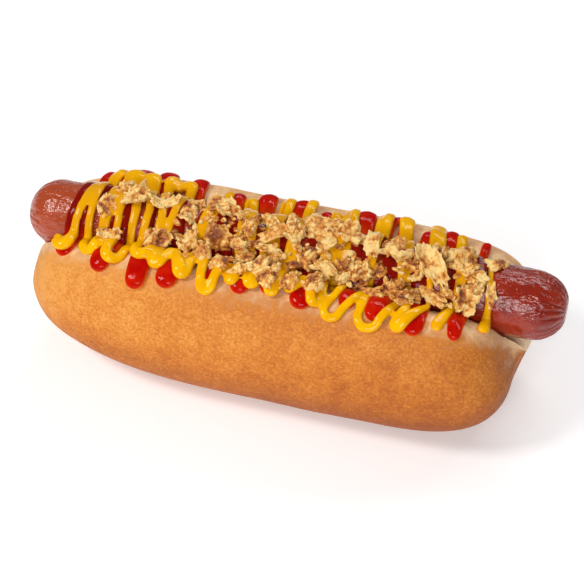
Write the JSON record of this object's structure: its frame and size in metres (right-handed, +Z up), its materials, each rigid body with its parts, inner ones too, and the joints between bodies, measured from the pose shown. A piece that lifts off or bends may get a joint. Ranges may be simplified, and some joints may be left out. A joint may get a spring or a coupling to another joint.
{
  "type": "hot dog",
  "caption": "Hot dog: a soft roll split along its top with a sausage in the slot, ketchup and mustard piped over it in zigzags, and fried onions on top.",
  "frame": {"origin": "centre of the bounding box in X and Y, on the plane the roll lies on", "axes": "+X along the hot dog, +Z up, -Y towards the front, where the sauces hang lowest"},
  "size_m": [0.1832, 0.075, 0.0654],
  "materials": {
    "crust": "soft golden brown crust, matte",
    "sausage_skin": "dark red-brown skin, moist and glossy",
    "ketchup": "red sauce, wet gloss",
    "mustard": "yellow sauce, wet gloss",
    "fried_onion": "crisp pale gold, rough"
  },
  "bodies": {
    "root": {"bun": "crust", "sausage": "sausage_skin", "ketchup": "ketchup", "mustard": "mustard", "onion_heap": "fried_onion", "onion_flake_01": "fried_onion", "onion_flake_02": "fried_onion", "onion_flake_03": "fried_onion", "onion_flake_04": "fried_onion", "onion_flake_05": "fried_onion", "onion_flake_06": "fried_onion"}
  },
  "joints": []
}
